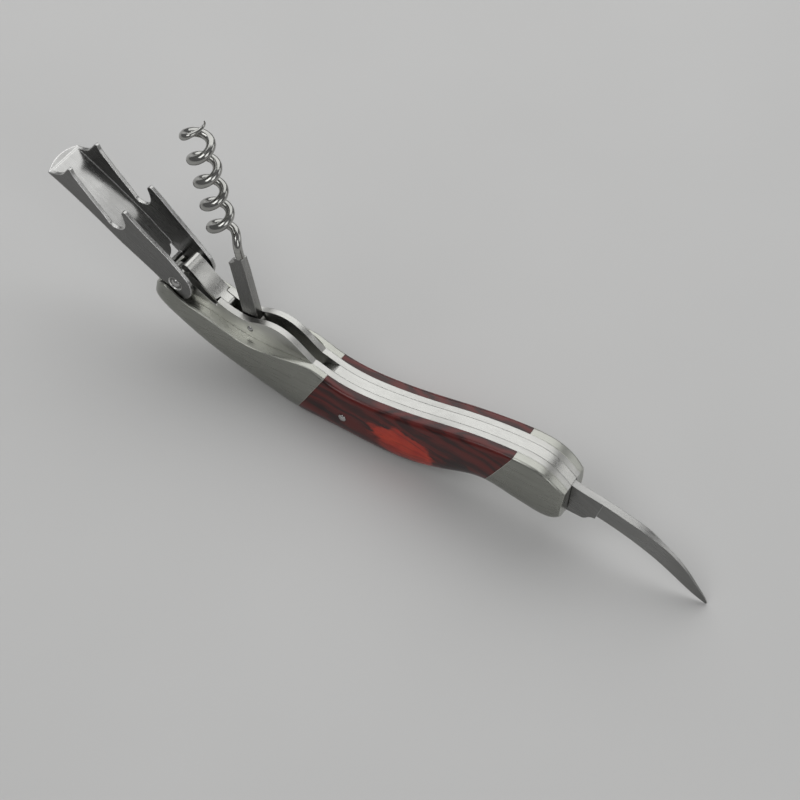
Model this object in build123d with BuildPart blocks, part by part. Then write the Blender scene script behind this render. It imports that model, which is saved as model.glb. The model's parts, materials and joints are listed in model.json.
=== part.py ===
from build123d import *
import math
import os

# Waiter's corkscrew, open. Millimetres. X runs from the lever end to the knife end, Z is up, and
# every piece is symmetric about the plane Y = 0 except the wire of the worm, a right-handed helix.
# The tool rests on the flat under its belly and on the tip of the foil knife, both at Z = 0.

# ---- the stack across the handle ----
SLOT_HALF = 1.4            # half the gap between the liners
LINER = 1.7                # thickness of one liner
STACK_HALF = SLOT_HALF + LINER
SPRING_HALF = SLOT_HALF - 0.07
SCALE_REACH = 10.0         # safely outside the widest scale

# ---- pivots, as (x, z), and the pins in them ----
LEVER_PIVOT = (-57.9, 24.5)
WORM_PIVOT = (-36.2, 18.8)
KNIFE_PIVOT = (49.5, 16.5)
LEAF_PIVOT = (-45.2, 20.6)
LEVER_PIN_R = 1.2
WORM_PIN_R = 0.9
KNIFE_PIN_R = 1.5
LEAF_PIN_R = 0.8
RUN = 0.04                 # radial clearance of a turning pin

# ---- lever, in its own frame: u along the lever, n towards its open side ----
LEVER_OPEN = 148.0         # direction of the open lever, degrees from +X
LEVER_HALF = 5.35          # half the outer width at the pivot
LEVER_FLARED = 5.85        # and from the notch to the tip
FLARE_U = (6.0, 17.0)      # the walls spread between these
LEVER_WALL = 1.0
LEVER_INNER = LEVER_HALF - LEVER_WALL
LEVER_BASE = 0.9           # thickness of the base
LEVER_LUG_R = 5.1          # rounded pivot end of the walls

# ---- worm, in its own frame: u along the worm, n to its right ----
WORM_LEAN = 102.2          # direction of the raised worm, degrees from +X
WIRE_R = 1.15
COIL_R = 2.8               # mean radius of the helix
COIL_PITCH = 6.95
COIL_AXIS_N = -2.9         # the shank meets the wire at the side of the coil
COIL_START = 27.1          # u of the helix where it would cross the side of the shank
COIL_PHASE = 0.2           # turns of the helix left out where the neck joins it
COIL_TURNS = 4.55          # up to here the wire is whole, then it tapers to the point
SHANK_HALF = 1.1

# ---- knife ----
BLADE_HALF = 1.0
TANG_R = 4.9

# ---- slanted joints between wood and metal: x at the given height, and slope dx/dz ----
JOINT_SLOPE = 0.48
HEAD_JOINT = (-12.4, 16.6)
TAIL_JOINT = (41.6, 24.9)

# ---- handle blank: x, top, half width of the top, edge rounding, widest half width, bottom ----
STATIONS = [
    (-65.4, 19.0, 3.2, 0.3, 3.8, 15.4),
    (-64.4, 21.0, 4.8, 0.3, 5.4, 14.6),
    (-61.8, 22.7, 6.0, 0.3, 6.6, 13.4),
    (-57.0, 20.9, 6.4, 0.3, 7.0, 11.0),
    (-50.0, 19.0, 6.45, 0.3, 7.1, 7.6),
    (-41.0, 16.9, 6.45, 0.3, 7.1, 4.4),
    (-31.0, 16.4, 6.4, 0.3, 7.1, 2.0),
    (-22.0, 18.0, 5.9, 0.3, 7.0, 0.1),
    (-17.0, 17.8, 5.3, 0.5, 6.9, -0.2),
    (-12.0, 16.5, 5.6, 1.1, 6.7, -0.3),
    (-4.0, 15.8, 6.0, 1.5, 6.6, -0.3),
    (5.0, 16.9, 6.1, 1.6, 6.6, -0.1),
    (15.0, 19.2, 6.1, 1.6, 6.6, 1.6),
    (26.0, 22.4, 6.0, 1.6, 6.5, 6.3),
    (35.0, 24.4, 5.9, 1.4, 6.5, 9.9),
    (42.0, 25.3, 5.8, 1.0, 6.5, 9.2),
    (48.0, 25.1, 5.7, 0.7, 6.6, 8.5),
    (53.0, 23.0, 5.6, 0.6, 6.5, 8.3),
    (56.2, 20.4, 5.1, 0.6, 5.9, 10.3),
]
BELLY_SHARE = 0.24         # flat under the belly, as a share of the widest half width
WIDEST_SHARE = 0.55        # height of the widest place, as a share of the section's height


def side_plane(y):
    """Side-view plane at the given y; extruding goes towards -Y."""
    return Plane.XZ.offset(-y)


def polar(origin, radius, degrees):
    """Point at a distance and direction from a pivot, in the side view."""
    angle = math.radians(degrees)
    return (origin[0] + radius * math.cos(angle), origin[1] + radius * math.sin(angle))


def along(origin, degrees, u, n):
    """Side-view point from a pivot: u along a direction, n to the right of it."""
    angle = math.radians(degrees)
    return (
        origin[0] + u * math.cos(angle) + n * math.sin(angle),
        origin[1] + u * math.sin(angle) - n * math.cos(angle),
    )


def on_joint(joint, height):
    """Point of a slanted joint at a height."""
    return (joint[0] + (height - joint[1]) * JOINT_SLOPE, height)


def drill(centre, radius, reach=SCALE_REACH):
    """Bore across the handle at a side-view point, out to +-reach, in the part being built."""
    with BuildSketch(side_plane(reach)) as hole:
        with Locations(centre):
            Circle(radius)
    extrude(hole.sketch, amount=2 * reach, mode=Mode.SUBTRACT)


def rod(centre, radius, reach):
    """Plain pin across the handle, out to +-reach, in the part being built."""
    with BuildSketch(side_plane(reach)) as disc:
        with Locations(centre):
            Circle(radius)
    extrude(disc.sketch, amount=2 * reach)


def dome(centre, radius, y_face, rise):
    """Domed rivet head on each side, standing on the faces y = +-y_face."""
    ball = (radius**2 + rise**2) / (2 * rise)
    for side in (-1, 1):
        tip = side * (y_face + rise)
        with BuildSketch(side_plane(y_face if side < 0 else y_face + rise)) as disc:
            with Locations(centre):
                Circle(radius)
        cap = extrude(disc.sketch, amount=rise, mode=Mode.PRIVATE)
        if side < 0:
            cap = cap.moved(Location((0, -2 * y_face, 0)))
        sphere = Solid.make_sphere(ball).moved(Location((centre[0], tip - side * ball, centre[1])))
        add(cap & sphere)


def finish(solid, name):
    """Label one piece and write it."""
    solid.label = name
    export_step(solid, f"parts/{name}.step")


os.makedirs("parts", exist_ok=True)

# ---------------------------------------------------------------- handle blank
# The outer form that wood, bolsters, liners and springs are all ground to.
with BuildPart() as blank:
    for x, top, top_half, rounding, widest, bottom in STATIONS:
        belly_half = BELLY_SHARE * widest
        with BuildSketch(Plane.YZ.offset(x)):
            with BuildLine():
                Line((0, top), (top_half - rounding, top))
                RadiusArc(
                    (top_half - rounding, top),
                    (top_half, top - rounding),
                    rounding,
                )
                Spline(
                    (top_half, top - rounding),
                    (widest, bottom + WIDEST_SHARE * (top - bottom)),
                    (belly_half, bottom),
                    tangents=[(0.2, -1.0), (-1.0, 0.0)],
                )
                Line((belly_half, bottom), (0, bottom))
                mirror(about=Plane.YZ)
            make_face()
    loft()
    with BuildSketch(Plane.XY):
        Rectangle(160, 40)
    extrude(amount=-10, mode=Mode.SUBTRACT)

# ---------------------------------------------------------------- lever pocket in the bolsters
POCKET_HALF = LEVER_HALF + 0.15
LANDING_HALF = LEVER_FLARED + 0.2
POCKET_R = LEVER_LUG_R + 0.35
LANDING_ENDS = (-62.5, -16.2)
LANDING_FLOOR = [
    (-62.5, 23.0),
    (-60.0, 20.9),
    (-57.0, 19.1),
    (-54.0, 18.5),
    (-50.0, 18.3),
    (-46.0, 17.6),
    (-41.0, 16.5),
    (-31.0, 16.0),
    (-24.0, 16.9),
    (-16.2, 17.9),
]

with BuildPart() as lever_pocket:
    with BuildSketch(side_plane(POCKET_HALF)):
        with Locations(LEVER_PIVOT):
            Circle(POCKET_R)
    extrude(amount=2 * POCKET_HALF)

# Shallow landing beside the liners where the closed lever's walls rest.
with BuildPart() as lever_landing:
    with BuildSketch(side_plane(SCALE_REACH)):
        with BuildLine():
            Spline(LANDING_FLOOR)
            Polyline(
                LANDING_FLOOR[-1],
                (LANDING_ENDS[1], 30),
                (LANDING_ENDS[0], 30),
                LANDING_FLOOR[0],
            )
        make_face()
    extrude(amount=2 * SCALE_REACH)
    with BuildSketch(Plane.XY):
        with BuildLine():
            Line((-63.0, 0), (-63.0, 4.2))
            Spline(
                (-63.0, 4.2),
                (-60.0, POCKET_HALF - 0.1),
                (-52.0, POCKET_HALF),
                (-43.0, LANDING_HALF),
                (-30.0, LANDING_HALF),
                (-22.0, 4.8),
                (-16.9, STACK_HALF),
            )
            Line((-16.9, STACK_HALF), (-16.9, 0))
            mirror(about=Plane.XZ)
        make_face()
    extrude(amount=40, mode=Mode.INTERSECT)

# ---------------------------------------------------------------- bolsters and wood scales
SCALE_PIN_AT = (-5.5, 7.6)
SCALE_PIN_R = 1.1
SCALE_PIN_HALF = 6.85      # each end stands a little inside the wood's face
BOLSTER_PINS_AT = [(-30.0, 7.0), (-52.0, 13.0)]
BOLSTER_PIN_R = 1.0
HIDDEN_REACH = 5.6         # blind pins stop inside the bolsters


def outer_piece(side, left, right):
    """Keep one side of the blank, outside the liners, between two joints."""
    y_outer = SCALE_REACH if side > 0 else -STACK_HALF
    with BuildSketch(side_plane(y_outer)) as region:
        Polygon(
            on_joint(left, -5),
            on_joint(right, -5),
            on_joint(right, 35),
            on_joint(left, 35),
            align=None,
        )
    extrude(region.sketch, amount=SCALE_REACH - STACK_HALF, mode=Mode.INTERSECT)


NOSE_END = (-75.0, 16.0)
TAIL_END = (75.0, 16.0)

for side, where in ((-1, "near"), (1, "far")):
    with BuildPart() as head_bolster:
        add(blank.part)
        outer_piece(side, NOSE_END, HEAD_JOINT)
        add(lever_pocket.part, mode=Mode.SUBTRACT)
        add(lever_landing.part, mode=Mode.SUBTRACT)
        for centre in BOLSTER_PINS_AT:
            drill(centre, BOLSTER_PIN_R, HIDDEN_REACH)
    finish(head_bolster.part, f"head_bolster_{where}")

    with BuildPart() as wood_scale:
        add(blank.part)
        outer_piece(side, HEAD_JOINT, TAIL_JOINT)
        drill(SCALE_PIN_AT, SCALE_PIN_R)
    finish(wood_scale.part, f"wood_scale_{where}")

    with BuildPart() as tail_bolster:
        add(blank.part)
        outer_piece(side, TAIL_JOINT, TAIL_END)
        drill(KNIFE_PIVOT, KNIFE_PIN_R, HIDDEN_REACH)
    finish(tail_bolster.part, f"tail_bolster_{where}")

# ---------------------------------------------------------------- liners and springs
HEAD_HUMP = [
    (-46.3, 22.9),
    (-44.4, 22.1),
    (-40.4, 21.2),
    (-36.6, 21.4),
    (-33.3, 22.7),
    (-29.0, 23.6),
    (-25.5, 23.0),
    (-21.5, 20.9),
    (-17.0, 17.8),
]
LEAF_SEAT = [(-53.3, 24.2), (-51.6, 23.4), (-49.2, 22.2), (-46.4, 21.2)]    # under the leaf's plate
LINER_EYE_R = 2.0
FRAME_PINS_AT = [(-12.5, 6.0), (-43.0, 9.0), (-5.0, 14.4), (16.0, 17.9)]
FRAME_PIN_R = 0.7
LEAF_PIN_REACH = 2.7       # the leaf pin is blind in the liners

for side, where in ((-1, "near"), (1, "far")):
    y_outer = STACK_HALF if side > 0 else -SLOT_HALF
    with BuildPart() as liner:
        add(blank.part)
        with BuildSketch(side_plane(y_outer)):
            Rectangle(160, 120)
        extrude(amount=LINER, mode=Mode.INTERSECT)
        with BuildSketch(side_plane(y_outer)):
            with BuildLine():
                Spline(HEAD_HUMP, tangents=[(1.0, -0.5), (1.0, -0.62)])
                Polyline(
                    HEAD_HUMP[-1],
                    (-18.0, 14.0),
                    (-60.2, 14.0),
                    (-60.2, 24.5),
                    (-58.0, 26.4),
                    LEAF_SEAT[0],
                )
                Spline(LEAF_SEAT)
                Line(LEAF_SEAT[-1], HEAD_HUMP[0])
            make_face()
            with Locations(LEVER_PIVOT):
                Circle(LINER_EYE_R)
        extrude(amount=LINER)
        drill(LEVER_PIVOT, LEVER_PIN_R + RUN)
        drill(WORM_PIVOT, WORM_PIN_R)
        drill(KNIFE_PIVOT, KNIFE_PIN_R)
        drill(LEAF_PIVOT, LEAF_PIN_R, LEAF_PIN_REACH)
        drill(SCALE_PIN_AT, SCALE_PIN_R)
        for centre in FRAME_PINS_AT:
            drill(centre, FRAME_PIN_R)
        for centre in BOLSTER_PINS_AT:
            drill(centre, BOLSTER_PIN_R)
    finish(liner.part, f"liner_{where}")

# Back spring: closes the slot along the top and bears on the knife's tang.
SPRING_UNDER = [
    (-17.0, 12.1),
    (-4.0, 13.0),
    (5.0, 14.1),
    (15.0, 16.3),
    (26.0, 19.4),
    (35.0, 21.2),
    (43.0, 22.0),
    (49.5, 21.6),
    (54.0, 20.9),
    (57.0, 20.2),
]
SPRING_RAMP = [(-17.0, 12.9), (-16.2, 14.0), (-14.6, 15.0), (-12.0, 16.2), (-8.0, 18.0)]
with BuildPart() as back_spring:
    add(blank.part)
    with BuildSketch(Plane.XZ):
        with BuildLine():
            Spline(SPRING_UNDER)
            Polyline(SPRING_UNDER[-1], (57.0, 40), (-8.0, 40), SPRING_RAMP[-1])
            Spline(SPRING_RAMP)
            Line(SPRING_RAMP[0], SPRING_UNDER[0])
        make_face()
    extrude(amount=SPRING_HALF, both=True, mode=Mode.INTERSECT)
    drill(FRAME_PINS_AT[2], FRAME_PIN_R)
    drill(FRAME_PINS_AT[3], FRAME_PIN_R)
finish(back_spring.part, "back_spring")

# Front spacer: floor of the worm slot, between the liners of the head.
SPACER_TOP = [
    (-66.0, 19.4),
    (-61.0, 18.0),
    (-54.0, 15.2),
    (-47.0, 13.4),
    (-38.0, 12.4),
    (-20.0, 11.7),
    (-2.0, 11.7),
]
with BuildPart() as front_spacer:
    add(blank.part)
    with BuildSketch(Plane.XZ):
        with BuildLine():
            Spline(SPACER_TOP)
            Polyline(SPACER_TOP[-1], (-2.0, -5), (-66.0, -5), SPACER_TOP[0])
        make_face()
    extrude(amount=SLOT_HALF, both=True, mode=Mode.INTERSECT)
    drill(FRAME_PINS_AT[0], FRAME_PIN_R)
    drill(FRAME_PINS_AT[1], FRAME_PIN_R)
    drill(SCALE_PIN_AT, SCALE_PIN_R)
    for centre in BOLSTER_PINS_AT:
        drill(centre, BOLSTER_PIN_R)
finish(front_spacer.part, "front_spacer")

# ---------------------------------------------------------------- lever spring leaf
ROLL_AT = (-56.2, 28.9)
ROLL_R = 1.2
ROLL_HALF = 2.7
LEAF_THICK = 0.9
LEAF_TOP = [(-56.0, 29.9), (-54.3, 29.0), (-50.7, 25.8), (-48.5, 24.1), (-46.3, 22.8), (-44.3, 22.0)]
WIDE_END = -46.9           # the plate narrows to the slot from here
WEB_START = -46.6
WEB_HALF = SLOT_HALF - 0.12


def one_side(points, distance):
    """Points moved square to the line through their neighbours, downwards."""
    moved = []
    for index, (x, z) in enumerate(points):
        before = points[max(index - 1, 0)]
        after = points[min(index + 1, len(points) - 1)]
        along_x = after[0] - before[0]
        along_z = after[1] - before[1]
        length = math.hypot(along_x, along_z)
        moved.append((x + distance * along_z / length, z - distance * along_x / length))
    return moved


LEAF_UNDER = one_side(LEAF_TOP, LEAF_THICK)
with BuildPart() as lever_spring:
    with BuildSketch(Plane.XZ):
        with BuildLine():
            Spline(LEAF_TOP)
            Line(LEAF_TOP[-1], LEAF_UNDER[-1])
            Spline(LEAF_UNDER)
            Line(LEAF_UNDER[0], LEAF_TOP[0])
        make_face()
        with Locations(ROLL_AT):
            Circle(ROLL_R)
    extrude(amount=ROLL_HALF, both=True)
    with BuildSketch(Plane.XY):
        with BuildLine():
            Polyline(
                (-60.0, 0),
                (-60.0, ROLL_HALF),
                (WIDE_END, ROLL_HALF),
                (WEB_START, WEB_HALF),
                (-40.0, WEB_HALF),
                (-40.0, 0),
            )
            mirror(about=Plane.XZ)
        make_face()
    extrude(amount=60, mode=Mode.INTERSECT)
    with BuildSketch(Plane.XZ):
        with BuildLine():
            Polyline(
                LEAF_UNDER[-3],
                LEAF_UNDER[-1],
                polar(LEAF_PIVOT, 1.6, 20),
                polar(LEAF_PIVOT, 1.6, -160),
                LEAF_UNDER[-3],
            )
        make_face()
        with Locations(LEAF_PIVOT):
            Circle(1.6)
    extrude(amount=WEB_HALF, both=True)
    drill(LEAF_PIVOT, LEAF_PIN_R + RUN)
finish(lever_spring.part, "lever_spring")

with BuildPart() as lever_spring_pin:
    rod(LEAF_PIVOT, LEAF_PIN_R, LEAF_PIN_REACH)
finish(lever_spring_pin.part, "lever_spring_pin")

# ---------------------------------------------------------------- lever
LEVER_TIP_U = 42.2
LEVER_BULGE = 1.4          # the tip of the base bulges past the walls
BASE_LINE = [(-3.7, -3.45), (8.0, -3.3), (20.0, -3.1), (31.0, -3.2), (38.0, -3.6), (43.8, -4.35)]
RIM_LINE = [(38.3, 4.4), (37.3, 3.7), (34.0, 2.6), (29.0, 1.3), (25.0, 0.4), (23.1, -0.2)]
NOTCH_LINE = [(23.1, -0.2), (21.4, -0.4), (19.6, 0.8), (18.9, 3.0), (19.9, 5.0), (21.4, 6.4)]
BACK_LINE = [(21.1, 8.2), (18.0, 7.8), (13.0, 7.1), (7.0, 6.5), (2.0, 5.65), (-0.6, 5.06)]
FRONT_LINE = [(42.1, -3.5), (40.0, -1.2), (39.2, 0.4), (39.0, 2.8), (38.9, 4.0)]
TONGUE_CORNER = (8.0, 3.4)
TONGUE_END = 5.7
LIP_RADII = (4.9, 5.7)     # the curled lip that presses the lever spring is round the pivot
LIP_ANGLES = (-26.0, -34.0, -42.0)
RIVET_HEAD_R = 1.35
RIVET_RECESS_R = 2.0
RECESS_DEPTH = 0.3


def on_lever(point):
    """Side-view point from the lever's own frame."""
    return along(LEVER_PIVOT, LEVER_OPEN, *point)


def lever_points(points, rise=0.0):
    """Several of them, each raised by the same n."""
    return [on_lever((u, n + rise)) for u, n in points]


lever_plane = Plane(
    origin=(LEVER_PIVOT[0], 0, LEVER_PIVOT[1]),
    x_dir=(math.cos(math.radians(LEVER_OPEN)), 0, math.sin(math.radians(LEVER_OPEN))),
    z_dir=(math.sin(math.radians(LEVER_OPEN)), 0, -math.cos(math.radians(LEVER_OPEN))),
)
base_tip = BASE_LINE[-1]


def lever_plan(pivot_half, tip_half, end, bulge):
    """Outline seen square to the base, with flared sides and a bulging end."""
    with BuildSketch() as plan:
        with BuildLine():
            Polyline(
                (end, tip_half),
                (FLARE_U[1], tip_half),
                (FLARE_U[0], pivot_half),
                (-8, pivot_half),
                (-8, -pivot_half),
                (FLARE_U[0], -pivot_half),
                (FLARE_U[1], -tip_half),
                (end, -tip_half),
            )
            ThreePointArc((end, -tip_half), (end + bulge, 0), (end, tip_half))
        make_face()
    return plan.sketch


hook_tip = (21.9, 7.4)

with BuildPart() as lever_body:
    with BuildSketch(Plane.XZ):
        with BuildLine():
            Spline(lever_points(BASE_LINE))
            Polyline(on_lever(base_tip), on_lever((base_tip[0] + 0.2, -3.5)), on_lever(FRONT_LINE[0]))
            Spline(lever_points(FRONT_LINE))
            Line(on_lever(FRONT_LINE[-1]), on_lever(RIM_LINE[0]))
            Spline(lever_points(RIM_LINE))
            Spline(lever_points(NOTCH_LINE))
            ThreePointArc(on_lever(NOTCH_LINE[-1]), on_lever(hook_tip), on_lever(BACK_LINE[0]))
            Spline(lever_points(BACK_LINE))
            ThreePointArc(on_lever(BACK_LINE[-1]), on_lever((-LEVER_LUG_R, 0)), on_lever(BASE_LINE[0]))
        make_face()
    extrude(amount=LEVER_FLARED, both=True)
    with BuildSketch(lever_plane):
        add(lever_plan(LEVER_HALF, LEVER_FLARED, LEVER_TIP_U, LEVER_BULGE))
    extrude(amount=15, both=True, mode=Mode.INTERSECT)

with BuildPart() as lever_inside:
    with BuildSketch(Plane.XZ):
        with BuildLine():
            Spline(lever_points(BASE_LINE, LEVER_BASE))
            Polyline(
                on_lever((base_tip[0], base_tip[1] + LEVER_BASE)),
                on_lever((50.0, -2.0)),
                on_lever((50.0, 12.0)),
                on_lever((-8.0, 12.0)),
                on_lever((BASE_LINE[0][0] - 4.3, BASE_LINE[0][1] + LEVER_BASE)),
                on_lever((BASE_LINE[0][0], BASE_LINE[0][1] + LEVER_BASE)),
            )
        make_face()
    extrude(amount=LEVER_FLARED, both=True)
    with BuildSketch(lever_plane):
        add(lever_plan(LEVER_INNER, LEVER_FLARED - LEVER_WALL, 50.0, 1.0))
    extrude(amount=15, both=True, mode=Mode.INTERSECT)
    with BuildSketch(lever_plane.offset(-8.0)):
        with BuildLine():
            Polyline(
                (TONGUE_CORNER[0], LEVER_INNER),
                (-8.0, LEVER_INNER),
                (-8.0, -LEVER_INNER),
                (TONGUE_CORNER[0], -LEVER_INNER),
                (TONGUE_CORNER[0], -TONGUE_CORNER[1]),
            )
            ThreePointArc(
                (TONGUE_CORNER[0], -TONGUE_CORNER[1]),
                (TONGUE_END, 0),
                TONGUE_CORNER,
            )
            Line(TONGUE_CORNER, (TONGUE_CORNER[0], LEVER_INNER))
        make_face()
    extrude(amount=6.0)

with BuildPart() as lever:
    add(lever_body.part)
    add(lever_inside.part, mode=Mode.SUBTRACT)
    with BuildSketch(Plane.XZ):
        with BuildLine():
            lip_in = [polar(LEVER_PIVOT, LIP_RADII[0], LEVER_OPEN - angle) for angle in LIP_ANGLES]
            lip_out = [polar(LEVER_PIVOT, LIP_RADII[1], LEVER_OPEN - angle) for angle in LIP_ANGLES]
            ThreePointArc(*lip_in)
            Line(lip_in[-1], lip_out[-1])
            ThreePointArc(*lip_out[::-1])
            Line(lip_out[0], lip_in[0])
        make_face()
    extrude(amount=LEVER_INNER + 0.2, both=True)
    drill(LEVER_PIVOT, LEVER_PIN_R)
    for side in (-1, 1):
        y_outer = LEVER_HALF if side > 0 else -LEVER_HALF + RECESS_DEPTH
        with BuildSketch(side_plane(y_outer)):
            with Locations(LEVER_PIVOT):
                Circle(RIVET_RECESS_R)
        extrude(amount=RECESS_DEPTH, mode=Mode.SUBTRACT)
finish(lever.part, "lever")

with BuildPart() as lever_pin:
    rod(LEVER_PIVOT, LEVER_PIN_R, LEVER_HALF - RECESS_DEPTH)
    dome(LEVER_PIVOT, RIVET_HEAD_R, LEVER_HALF - RECESS_DEPTH, 0.75)
finish(lever_pin.part, "lever_pin")

WASHER_GAP = 0.05
with BuildPart() as lever_washers:
    for side in (-1, 1):
        y_outer = LEVER_INNER - WASHER_GAP if side > 0 else -STACK_HALF
        with BuildSketch(side_plane(y_outer)):
            with Locations(LEVER_PIVOT):
                Circle(LINER_EYE_R)
                Circle(LEVER_PIN_R + RUN, mode=Mode.SUBTRACT)
        extrude(amount=LEVER_INNER - WASHER_GAP - STACK_HALF)
finish(lever_washers.part, "lever_washers")

# ---------------------------------------------------------------- worm
SHANK_OUTLINE = [
    (0.0, -3.0),
    (18.9, -3.0),
    (19.9, -3.15),
    (20.0, -2.5),
    (20.4, -1.7),
    (21.0, -1.0),
    (22.0, -0.85),
    (22.0, 1.45),
    (18.0, 1.65),
    (0.0, 1.7),
]
SHANK_EYE_R = 2.4
WIRE_START = (22.0, 0.3)
NECK_STRAIGHT = 2.6
POINT_U = 62.8             # height of the worm's point along its axis
POINT_TURNS = 0.49
POINT_R = 0.15

axis_u = Vector(math.cos(math.radians(WORM_LEAN)), 0, math.sin(math.radians(WORM_LEAN)))
axis_n = Vector(math.sin(math.radians(WORM_LEAN)), 0, -math.cos(math.radians(WORM_LEAN)))
worm_pivot_point = Vector(WORM_PIVOT[0], 0, WORM_PIVOT[1])
coil_axis_foot = worm_pivot_point + axis_n * COIL_AXIS_N


def on_worm(u, n):
    """Side-view point in the worm's own frame."""
    return along(WORM_PIVOT, WORM_LEAN, u, n)


def on_coil(turns, u, radius=COIL_R):
    """Point at a number of turns round the coil's axis, at a height u from the pivot."""
    angle = 2 * math.pi * turns
    across = axis_n * (radius * math.cos(angle)) + Vector(0, radius * math.sin(angle), 0)
    return coil_axis_foot + axis_u * u + across


with BuildPart() as worm_shank:
    with BuildSketch(Plane.XZ):
        Polygon(*[on_worm(u, n) for u, n in SHANK_OUTLINE], align=None)
        with Locations(WORM_PIVOT):
            Circle(SHANK_EYE_R)
    extrude(amount=SHANK_HALF, both=True)
    drill(WORM_PIVOT, WORM_PIN_R + RUN)
finish(worm_shank.part, "worm_shank")

# The wire: a straight neck, the helix, and a point that leans up out of the last turn.
helix_foot = coil_axis_foot + axis_u * (COIL_START + COIL_PHASE * COIL_PITCH)
wire_start = worm_pivot_point + axis_u * WIRE_START[0] + axis_n * WIRE_START[1]
neck_end = wire_start + axis_u * NECK_STRAIGHT
whole_turns = COIL_TURNS - COIL_PHASE

with BuildPart() as worm_helix:
    unturned = Helix(
        pitch=COIL_PITCH,
        height=COIL_PITCH * whole_turns,
        radius=COIL_R,
        center=helix_foot,
        direction=axis_u,
        mode=Mode.PRIVATE,
    )
    with BuildLine():
        coil = add(unturned.rotate(Axis(helix_foot, axis_u), 360 * COIL_PHASE)).edge()
    with BuildSketch(Plane(origin=coil @ 0, z_dir=coil % 0)):
        Circle(WIRE_R)
    sweep(path=coil, is_frenet=True)

    with BuildLine():
        neck = Spline(neck_end, coil @ 0, tangents=[axis_u, coil % 0], tangent_scalars=[1.2, 1.0])
    with BuildSketch(Plane(origin=neck_end, z_dir=axis_u)):
        Circle(WIRE_R)
    sweep(path=neck)
    with BuildSketch(Plane(origin=wire_start, z_dir=axis_u)):
        Circle(WIRE_R)
    extrude(amount=NECK_STRAIGHT)

    with BuildLine():
        sharp = Spline(
            coil @ 1,
            on_coil(COIL_TURNS + 0.27, COIL_START + COIL_PITCH * (COIL_TURNS + 0.3)),
            on_coil(COIL_TURNS + POINT_TURNS, POINT_U, 1.1 * COIL_R),
            tangents=[coil % 1, axis_u * 0.75 + (coil % 1) * 0.6],
        )
    with BuildSketch(Plane(origin=sharp @ 0, z_dir=sharp % 0)) as thick_end:
        Circle(WIRE_R)
    with BuildSketch(Plane(origin=sharp @ 1, z_dir=sharp % 1)) as sharp_end:
        Circle(POINT_R)
    sweep(sections=[thick_end.sketch.face(), sharp_end.sketch.face()], path=sharp, multisection=True)
finish(worm_helix.part, "worm_helix")

with BuildPart() as worm_pin:
    rod(WORM_PIVOT, WORM_PIN_R, STACK_HALF)
    dome(WORM_PIVOT, WORM_PIN_R, STACK_HALF, 0.5)
finish(worm_pin.part, "worm_pin")

# ---------------------------------------------------------------- foil knife
# Each station of the ground blade: spine point, edge point, half thickness at the spine.
BLADE_STATIONS = [
    ((64.9, 18.7), (63.6, 11.8), 1.0),
    ((71.0, 17.45), (70.0, 10.6), 1.0),
    ((77.4, 15.8), (75.0, 9.2), 0.9),
    ((80.6, 14.4), (77.6, 8.3), 0.62),
    ((83.2, 13.0), (79.9, 7.4), 0.45),
    ((88.4, 9.2), (84.8, 5.0), 0.34),
    ((92.6, 4.6), (89.9, 2.2), 0.24),
    ((95.7, 0.5), (95.3, 0.05), 0.12),
]
EDGE_HALF = 0.12

BLADE_OVERRUN = 0.5        # the wedge that grinds the blade stands past its spine and edge

with BuildPart() as blade_wedge:
    for spine, edge, half_thick in BLADE_STATIONS:
        foot = Vector(edge[0], 0, edge[1])
        rise = Vector(spine[0], 0, spine[1]) - foot
        widening = (half_thick - EDGE_HALF) / rise.length * BLADE_OVERRUN
        with BuildSketch(Plane(origin=foot, x_dir=(0, 1, 0), z_dir=Vector(0, 1, 0).cross(rise))):
            Polygon(
                (-EDGE_HALF * 0.5, -BLADE_OVERRUN),
                (EDGE_HALF * 0.5, -BLADE_OVERRUN),
                (half_thick + widening, rise.length + BLADE_OVERRUN),
                (-half_thick - widening, rise.length + BLADE_OVERRUN),
                align=None,
            )
    loft(ruled=True)
    with BuildSketch(Plane.XZ):
        with BuildLine():
            Polyline(
                (65.2, 20.3),
                (63.4, 10.7),
                (60.0, 6.0),
                (38.0, 6.0),
                (38.0, 26.0),
                (64.0, 26.0),
                (65.2, 20.3),
            )
        make_face()
    extrude(amount=BLADE_HALF, both=True)

with BuildPart() as knife_blade:
    with BuildSketch(Plane.XZ):
        with BuildLine():
            Spline(
                [polar(KNIFE_PIVOT, TANG_R, 88), (57.0, 19.85)] + [row[0] for row in BLADE_STATIONS],
                tangents=[(1, -0.04), (0.45, -1)],
            )
            Line(BLADE_STATIONS[-1][0], BLADE_STATIONS[-1][1])
            Spline([row[1] for row in BLADE_STATIONS][::-1])
            Spline(BLADE_STATIONS[0][1], (62.4, 11.5), (61.3, 10.3), tangents=[(-1, 0.05), (-0.5, -1)])
            Line((61.3, 10.3), (60.4, 9.7))
            Line((60.4, 9.7), (55.6, 9.6))
            ThreePointArc((55.6, 9.6), polar(KNIFE_PIVOT, 6.2, -80), polar(KNIFE_PIVOT, TANG_R, -120))
            ThreePointArc(
                polar(KNIFE_PIVOT, TANG_R, -120),
                polar(KNIFE_PIVOT, TANG_R, 180),
                polar(KNIFE_PIVOT, TANG_R, 88),
            )
        make_face()
    extrude(amount=BLADE_HALF, both=True)
    add(blade_wedge.part, mode=Mode.INTERSECT)
    drill(KNIFE_PIVOT, KNIFE_PIN_R + RUN)
finish(knife_blade.part, "knife_blade")

with BuildPart() as knife_pin:
    rod(KNIFE_PIVOT, KNIFE_PIN_R, HIDDEN_REACH)
finish(knife_pin.part, "knife_pin")

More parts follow.
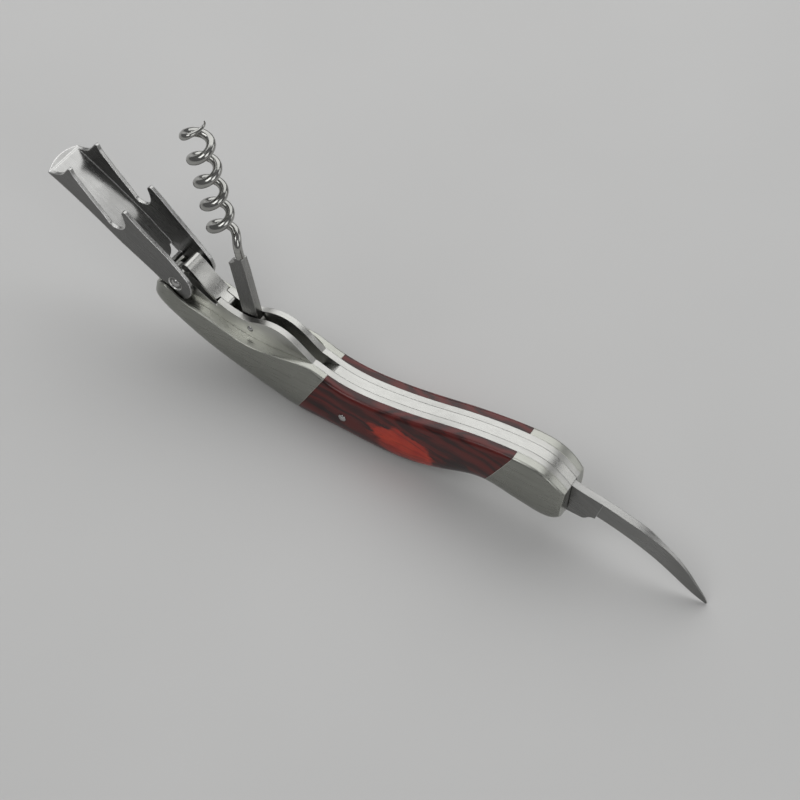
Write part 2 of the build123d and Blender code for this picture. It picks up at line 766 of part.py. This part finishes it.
with BuildPart() as knife_washers:
    for side in (-1, 1):
        y_outer = SLOT_HALF if side > 0 else -BLADE_HALF - WASHER_GAP
        with BuildSketch(side_plane(y_outer)):
            with Locations(KNIFE_PIVOT):
                Circle(3.4)
                Circle(KNIFE_PIN_R, mode=Mode.SUBTRACT)
        extrude(amount=SLOT_HALF - BLADE_HALF - WASHER_GAP)
finish(knife_washers.part, "knife_washers")

# ---------------------------------------------------------------- fixed pins
with BuildPart() as scale_pin:
    rod(SCALE_PIN_AT, SCALE_PIN_R, SCALE_PIN_HALF)
    dome(SCALE_PIN_AT, SCALE_PIN_R, SCALE_PIN_HALF, 0.4)
finish(scale_pin.part, "scale_pin")

with BuildPart() as bolster_pins:
    for centre in BOLSTER_PINS_AT:
        rod(centre, BOLSTER_PIN_R, HIDDEN_REACH)
finish(bolster_pins.part, "bolster_pins")

with BuildPart() as frame_pins:
    for centre in FRAME_PINS_AT:
        rod(centre, FRAME_PIN_R, STACK_HALF)
finish(frame_pins.part, "frame_pins")
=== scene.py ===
"""Looks of the open waiter's corkscrew: camera, studio, and a procedural finish on every CAD node."""
import json
import math

import bpy
from mathutils import Matrix, Vector

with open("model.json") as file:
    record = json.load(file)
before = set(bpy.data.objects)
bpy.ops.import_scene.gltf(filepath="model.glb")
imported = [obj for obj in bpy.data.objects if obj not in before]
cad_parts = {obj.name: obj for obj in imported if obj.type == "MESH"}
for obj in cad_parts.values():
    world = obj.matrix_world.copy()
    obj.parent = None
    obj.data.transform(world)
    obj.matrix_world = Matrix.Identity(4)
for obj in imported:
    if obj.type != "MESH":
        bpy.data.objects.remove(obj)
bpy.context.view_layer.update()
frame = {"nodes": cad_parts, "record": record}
nodes = frame["nodes"]
MM = 0.001

# ------------------------------------------------------------------ camera
ELEVATION = math.radians(52.52)
AZIMUTH = math.radians(28.77)
ROLL = math.radians(4.0)
DISTANCE = 0.400    # metres from the lens to the target
TARGET = Vector((0.0072, 0.0, 0.0170))
LENS = 72.0
SENSOR = 36.0


def make_camera():
    """The camera looks down on the tool from the near side, a little past its knife end."""
    forward = Vector(
        (
            -math.cos(ELEVATION) * math.sin(AZIMUTH),
            math.cos(ELEVATION) * math.cos(AZIMUTH),
            -math.sin(ELEVATION),
        )
    )
    level = Vector((math.cos(AZIMUTH), math.sin(AZIMUTH), 0.0))
    upward = level.cross(forward)
    right = math.cos(ROLL) * level + math.sin(ROLL) * upward
    up = -math.sin(ROLL) * level + math.cos(ROLL) * upward
    data = bpy.data.cameras.new("camera")
    data.lens = LENS
    data.sensor_width = SENSOR
    data.clip_start = 0.01
    data.clip_end = 20.0
    camera = bpy.data.objects.new("camera", data)
    bpy.context.scene.collection.objects.link(camera)
    turn = Matrix((right, up, -forward)).transposed().to_4x4()
    camera.matrix_world = Matrix.Translation(TARGET - forward * DISTANCE) @ turn
    bpy.context.scene.camera = camera


# ------------------------------------------------------------------ node trees
class Tree:
    """Short way to write a material's nodes: each call adds one node and links or sets its inputs."""

    def __init__(self, name):
        self.material = bpy.data.materials.new(name)
        self.material.use_nodes = True
        self.nodes = self.material.node_tree.nodes
        self.links = self.material.node_tree.links
        self.shader = self.nodes["Principled BSDF"]

    def put(self, socket, value):
        if isinstance(value, bpy.types.NodeSocket):
            self.links.new(value, socket)
        else:
            socket.default_value = value

    def node(self, kind, inputs, output=0, **settings):
        made = self.nodes.new("ShaderNode" + kind)
        for key, value in settings.items():
            setattr(made, key, value)
        for key, value in inputs.items():
            self.put(made.inputs[key], value)
        return made.outputs[output]

    def place(self):
        return self.node("TexCoord", {}, output="Object")

    def stretched(self, degrees, scale):
        """Coordinates turned about Y so that X runs along the grain, then scaled, per metre."""
        turned = self.node(
            "VectorRotate",
            {"Vector": self.place(), "Angle": math.radians(degrees)},
            rotation_type="Y_AXIS",
        )
        return self.node("Mapping", {"Vector": turned, "Scale": scale})

    def noise(self, vector, scale=1.0, detail=3.0, rough=0.5):
        return self.node(
            "TexNoise",
            {
                "Vector": vector,
                "Scale": scale,
                "Detail": detail,
                "Roughness": rough,
            },
        )

    def remap(self, value, low, high, to_low=0.0, to_high=1.0):
        return self.node(
            "MapRange",
            {"Value": value, "From Min": low, "From Max": high, "To Min": to_low, "To Max": to_high},
        )

    def maths(self, operation, first, second):
        return self.node("Math", {0: first, 1: second}, operation=operation)

    def mix(self, factor, first, second, blend="MIX"):
        made = self.nodes.new("ShaderNodeMix")
        made.data_type = "RGBA"
        made.blend_type = blend
        self.put(made.inputs["Factor"], factor)
        self.put(made.inputs[6], first)
        self.put(made.inputs[7], second)
        return made.outputs[2]

    def bump(self, height, strength, distance, normal=None):
        inputs = {"Height": height, "Strength": strength, "Distance": distance}
        if normal is not None:
            inputs["Normal"] = normal
        return self.node("Bump", inputs, output="Normal")

    def edges(self, radius):
        """Rounded normal, and a mask that is 1 on sharp edges."""
        rounded = self.node("Bevel", {"Radius": radius}, samples=6)
        plain = self.node("NewGeometry", {}, output="Normal")
        facing = self.node("VectorMath", {0: rounded, 1: plain}, output="Value", operation="DOT_PRODUCT")
        return rounded, self.remap(facing, 0.995, 0.86)

    def finish(self, **inputs):
        for key, value in inputs.items():
            self.put(self.shader.inputs[key.replace("_", " ")], value)
        return self.material


def tone(colour, factor):
    return tuple(channel * factor for channel in colour) + (1.0,)


# ------------------------------------------------------------------ finishes
def brushed(name, colour, rough, grain=0.0, fine=4200.0, depth=0.12, edge=0.25, side=1.0, shine=1.7):
    """Satin ground metal: hairlines along the grain, cloudy handling marks, scratches, painted highlights
    on the edges.

    edge is the bevel radius in mm, side multiplies the tone of faces square to Y as painted shade or light,
    and shine multiplies that of the edges as a painted highlight.
    """
    tree = Tree(name)
    hairlines = tree.noise(tree.stretched(grain, (70.0, fine, fine)), detail=4.0, rough=0.62)
    bands = tree.noise(tree.stretched(grain, (25.0, 900.0, 900.0)), detail=2.0)
    clouds = tree.noise(tree.place(), scale=95.0, detail=4.0, rough=0.6)
    scratch_field = tree.noise(tree.stretched(grain + 24.0, (45.0, 1500.0, 1500.0)), detail=1.0)
    scratches = tree.remap(scratch_field, 0.70, 0.76)
    rounded, edge_mask = tree.edges(edge * MM)
    # painted highlight: sharp edges are mixed toward a brighter copy of the tone (shine), patchy with the
    # clouds
    painted_edge_highlight = tree.maths("MULTIPLY", edge_mask, tree.remap(clouds, 0.30, 0.60, 0.45, 1.0))

    streaked = tree.mix(tree.remap(hairlines, 0.3, 0.7), tone(colour, 0.86), tone(colour, 1.12))
    clouded = tree.mix(tree.remap(clouds, 0.35, 0.7, 0.0, 0.35), streaked, tone(colour, 0.78))
    banded = tree.mix(tree.remap(bands, 0.35, 0.65, 0.0, 0.30), clouded, tone(colour, 1.15))
    # painted shade or light: faces square to Y have their tone multiplied by side (below 1 darker, above 1
    # brighter)
    if side != 1.0:
        normal = tree.node("NewGeometry", {}, output="Normal")
        local = tree.node("VectorTransform", {"Vector": normal}, convert_from="WORLD", convert_to="OBJECT")
        across = tree.node("SeparateXYZ", {"Vector": local}, output="Y")
        painted_side_light_mask = tree.remap(tree.maths("ABSOLUTE", across, 0.0), 0.55, 0.95)
        banded = tree.mix(painted_side_light_mask, banded, tree.mix(1.0, banded, tone((side,) * 3, 1.0), "MULTIPLY"))
    shown = tree.mix(painted_edge_highlight, banded, tone(colour, shine))

    grained = tree.remap(hairlines, 0.3, 0.7, rough - 0.06, rough + 0.08)
    smudged = tree.maths("ADD", grained, tree.remap(clouds, 0.4, 0.7, -0.03, 0.07))
    scratched = tree.maths("SUBTRACT", smudged, tree.maths("MULTIPLY", scratches, 0.10))
    relief = tree.maths("SUBTRACT", hairlines, tree.maths("MULTIPLY", scratches, 0.5))
    return tree.finish(
        Base_Color=shown,
        Metallic=1.0,
        Roughness=scratched,
        Normal=tree.bump(relief, depth, 0.02 * MM, rounded),
    )


def polished_wire(name, colour, rough):
    """Drawn and polished wire: faint rings of draw marks and tiny pits under a bright skin."""
    tree = Tree(name)
    rings = tree.noise(tree.stretched(WORM_GRAIN, (1700.0, 240.0, 240.0)), detail=3.0)
    pits = tree.noise(tree.place(), scale=1400.0, detail=2.0)
    clouds = tree.noise(tree.place(), scale=160.0, detail=3.0)
    shade = tree.mix(tree.remap(clouds, 0.35, 0.7), tone(colour, 0.82), tone(colour, 1.08))
    lined = tree.mix(tree.remap(rings, 0.42, 0.75, 0.0, 0.35), shade, tone(colour, 0.55))
    relief = tree.maths("ADD", rings, tree.maths("MULTIPLY", pits, 0.4))
    return tree.finish(
        Base_Color=lined,
        Metallic=1.0,
        Roughness=tree.remap(clouds, 0.3, 0.7, rough - 0.03, rough + 0.07),
        Normal=tree.bump(relief, 0.10, 0.03 * MM),
    )


def bronze(name):
    """Warm washer metal, turned and a little tarnished."""
    tree = Tree(name)
    clouds = tree.noise(tree.place(), scale=700.0, detail=4.0)
    rings = tree.noise(tree.stretched(0.0, (2500.0, 300.0, 2500.0)), detail=2.0)
    colour = tree.mix(tree.remap(clouds, 0.35, 0.7), (0.50, 0.29, 0.12, 1.0), (0.30, 0.16, 0.07, 1.0))
    return tree.finish(
        Base_Color=colour,
        Metallic=1.0,
        Roughness=tree.remap(clouds, 0.3, 0.7, 0.28, 0.48),
        Normal=tree.bump(rings, 0.12, 0.02 * MM),
    )


FLAME_AT = (0.0125, 0.0066, 0.0088)    # middle of the vivid flame in each scale
FLAME_SIZE = (0.0100, 0.0050, 0.0052)
KNOT_AT = (0.0280, 0.0066, 0.0085)     # middle of the black cloud behind the flame
KNOT_SIZE = (0.0070, 0.0060, 0.0060)
VENEER_DARK = (0.026, 0.0026, 0.0022, 1.0)
VENEER_RED = (0.100, 0.008, 0.006, 1.0)
FIBRE_RED = (0.17, 0.016, 0.010, 1.0)
EMBER_DEEP = (0.38, 0.016, 0.008, 1.0)
EMBER_BRIGHT = (0.62, 0.055, 0.018, 1.0)
KNOT_BLACK = (0.010, 0.003, 0.003, 1.0)
LINE_BLACK = (0.008, 0.0025, 0.0024, 1.0)


def pakkawood(name):
    """Dyed laminated wood under a clear coat: dark red veneers, black lines, one vivid flame and a knot.

    Y is folded to its absolute value, so the two scales mirror each other.
    """
    tree = Tree(name)
    place = tree.place()
    parts = tree.node("SeparateXYZ", {"Vector": place}, output="Y")
    away = tree.maths("ABSOLUTE", parts, 0.0)
    along = tree.node("SeparateXYZ", {"Vector": place}, output="X")
    high = tree.node("SeparateXYZ", {"Vector": place}, output="Z")
    folded = tree.node("CombineXYZ", {"X": along, "Y": away, "Z": high})

    wander = tree.noise(tree.node("Mapping", {"Vector": folded, "Scale": (38.0, 120.0, 120.0)}), detail=3.0)
    lifted = tree.maths("ADD", high, tree.remap(wander, 0.2, 0.8, -3.2 * MM, 3.2 * MM))
    bent = tree.node("CombineXYZ", {"X": along, "Y": away, "Z": lifted})
    veneer = tree.node(
        "TexWave",
        {
            "Vector": tree.node("Mapping", {"Vector": bent, "Scale": (30.0, 330.0, 330.0)}),
            "Scale": 0.62,
            "Distortion": 3.4,
            "Detail": 4.0,
            "Detail Scale": 1.3,
            "Detail Roughness": 0.62,
        },
        output="Fac",
        bands_direction="DIAGONAL",
    )
    fibres = tree.noise(
        tree.node("Mapping", {"Vector": bent, "Scale": (150.0, 1900.0, 1900.0)}), detail=4.0, rough=0.6
    )
    streaks = tree.noise(
        tree.node("Mapping", {"Vector": bent, "Scale": (42.0, 430.0, 430.0)}), detail=3.0, rough=0.6
    )
    billows = tree.noise(
        tree.node("Mapping", {"Vector": folded, "Scale": (150.0, 300.0, 300.0)}), detail=4.0, rough=0.6
    )

    def cloud(centre, size):
        """Mask that is 1 inside a ragged ellipsoid."""
        middle = tree.node("VectorMath", {0: folded, 1: centre}, operation="SUBTRACT")
        shape = tree.node("VectorMath", {0: middle, 1: size}, operation="DIVIDE")
        distance = tree.node("VectorMath", {0: shape}, output="Value", operation="LENGTH")
        ragged = tree.maths("ADD", distance, tree.remap(billows, 0.3, 0.7, -0.42, 0.42))
        return tree.remap(ragged, 1.10, 0.78)

    flame = tree.maths("MULTIPLY", cloud(FLAME_AT, FLAME_SIZE), tree.remap(streaks, 0.34, 0.50, 0.35, 1.0))
    knot = cloud(KNOT_AT, KNOT_SIZE)

    ground = tree.mix(tree.remap(veneer, 0.05, 0.95), VENEER_DARK, VENEER_RED)
    lined = tree.mix(tree.remap(fibres, 0.45, 0.72, 0.0, 0.30), ground, FIBRE_RED)
    ember = tree.mix(tree.remap(billows, 0.3, 0.7), EMBER_DEEP, EMBER_BRIGHT)
    lit = tree.mix(flame, lined, ember)
    shaded = tree.mix(tree.maths("MULTIPLY", knot, 0.85), lit, KNOT_BLACK)
    dark_lines = tree.remap(streaks, 0.61, 0.70, 0.0, 0.80)
    colour = tree.mix(dark_lines, shaded, LINE_BLACK)
    rounded, _ = tree.edges(0.15 * MM)
    return tree.finish(
        Base_Color=colour,
        Roughness=tree.remap(fibres, 0.3, 0.7, 0.30, 0.46),
        Normal=tree.bump(fibres, 0.10, 0.02 * MM, rounded),
        Specular_IOR_Level=0.25,
        Coat_Weight=0.45,
        Coat_Roughness=0.09,
        Coat_IOR=1.45,
    )


BOLSTER_TONE = (0.395, 0.40, 0.365)
STRIP_TONE = (0.46, 0.46, 0.44)
LEVER_TONE = (0.42, 0.42, 0.41)
WIRE_TONE = (0.43, 0.43, 0.41)
SHANK_TONE = (0.31, 0.31, 0.30)
BLADE_TONE = (0.36, 0.36, 0.35)
PIN_TONE = (0.50, 0.50, 0.49)
LEVER_GRAIN = 148.0    # degrees about Y that bring each piece's grain onto X
WORM_GRAIN = 102.2
BLADE_GRAIN = -22.0


def make_finishes():
    """One finish for each material slot of the record."""
    # side sets each finish's painted shade or light on faces square to Y, shine its painted edge highlight
    return {
        "bolster_steel": brushed(
            "satin_bolster", BOLSTER_TONE, 0.30, fine=3600.0, edge=0.32, side=0.74, shine=2.2
        ),
        "liner_steel": brushed("satin_liner", STRIP_TONE, 0.32, fine=5200.0, edge=0.14, side=1.25),
        "spring_steel": brushed("satin_spring", STRIP_TONE, 0.27, fine=5200.0, edge=0.12, side=0.7),
        "lever_steel": brushed(
            "fine_lever",
            LEVER_TONE,
            0.27,
            grain=LEVER_GRAIN,
            fine=5200.0,
            edge=0.42,
            side=0.42,
            shine=2.7,
        ),
        "worm_steel": polished_wire("polished_wire", WIRE_TONE, 0.13),
        "blade_steel": brushed(
            "ground_blade", BLADE_TONE, 0.30, grain=BLADE_GRAIN, fine=5600.0, edge=0.16, side=0.7
        ),
        "pin_steel": brushed("turned_pin", PIN_TONE, 0.20, fine=2600.0, edge=0.15, depth=0.06),
        "washer_bronze": bronze("turned_bronze"),
        "pakkawood": pakkawood("dyed_pakkawood"),
    }


def dress_nodes():
    """Every CAD node takes its slot's finish; the shank is darker than the wire it shares a slot with."""
    finishes = make_finishes()
    finishes["shank"] = brushed(
        "satin_shank", SHANK_TONE, 0.26, grain=WORM_GRAIN, fine=4200.0, edge=0.18, side=0.55
    )
    slots = {row["node"]: row["material_slot"] for row in frame["record"]["subparts"]}
    for name, node in nodes.items():
        chosen = finishes["shank"] if name == "worm_shank" else finishes[slots[name]]
        node.data.materials.clear()
        node.data.materials.append(chosen)


# ------------------------------------------------------------------ studio
FLOOR_HALF = 2.0
FLOOR_TONES = ((0.590, 0.590, 0.582, 1.0), (0.615, 0.615, 0.607, 1.0))
ROOM_TONE = (0.50, 0.50, 0.51, 1.0)
ROOM_STRENGTH = 0.35
LIGHTS = [    # name, place, size in metres, watts
    ("overhead", (-0.22, 0.40, 0.60), (1.15, 0.90), 4.4),
    ("window", (0.55, -0.35, 0.45), (0.35, 0.5), 0.9),
    ("front", (-0.24, -0.42, 0.63), (0.45, 0.30), 1.1),
    ("right", (0.72, 0.54, 0.40), (0.55, 0.45), 0.8),
]


def make_floor():
    tree = Tree("pale_floor")
    clouds = tree.noise(tree.place(), scale=9.0, detail=3.0)
    colour = tree.mix(tree.remap(clouds, 0.3, 0.7), *FLOOR_TONES)
    tree.finish(Base_Color=colour, Roughness=0.85)
    mesh = bpy.data.meshes.new("floor")
    signs = [(-1, -1), (1, -1), (1, 1), (-1, 1)]
    corners = [(x * FLOOR_HALF, y * FLOOR_HALF, 0.0) for x, y in signs]
    mesh.from_pydata(corners, [], [(0, 1, 2, 3)])
    mesh.materials.append(tree.material)
    floor = bpy.data.objects.new("floor", mesh)
    bpy.context.scene.collection.objects.link(floor)


def area_light(name, place, size, watts, aim=(0.0, 0.0, 0.02)):
    data = bpy.data.lights.new(name, "AREA")
    data.shape = "RECTANGLE"
    data.size, data.size_y = size
    data.energy = watts
    light = bpy.data.objects.new(name, data)
    light.location = place
    light.rotation_euler = (Vector(aim) - Vector(place)).to_track_quat("-Z", "Y").to_euler()
    bpy.context.scene.collection.objects.link(light)


def make_studio():
    make_floor()
    for light in LIGHTS:
        area_light(*light)
    world = bpy.data.worlds.new("studio")
    world.use_nodes = True
    background = world.node_tree.nodes["Background"]
    background.inputs["Color"].default_value = ROOM_TONE
    background.inputs["Strength"].default_value = ROOM_STRENGTH
    bpy.context.scene.world = world
    bpy.context.scene.view_settings.view_transform = "Standard"


make_camera()
dress_nodes()
make_studio()
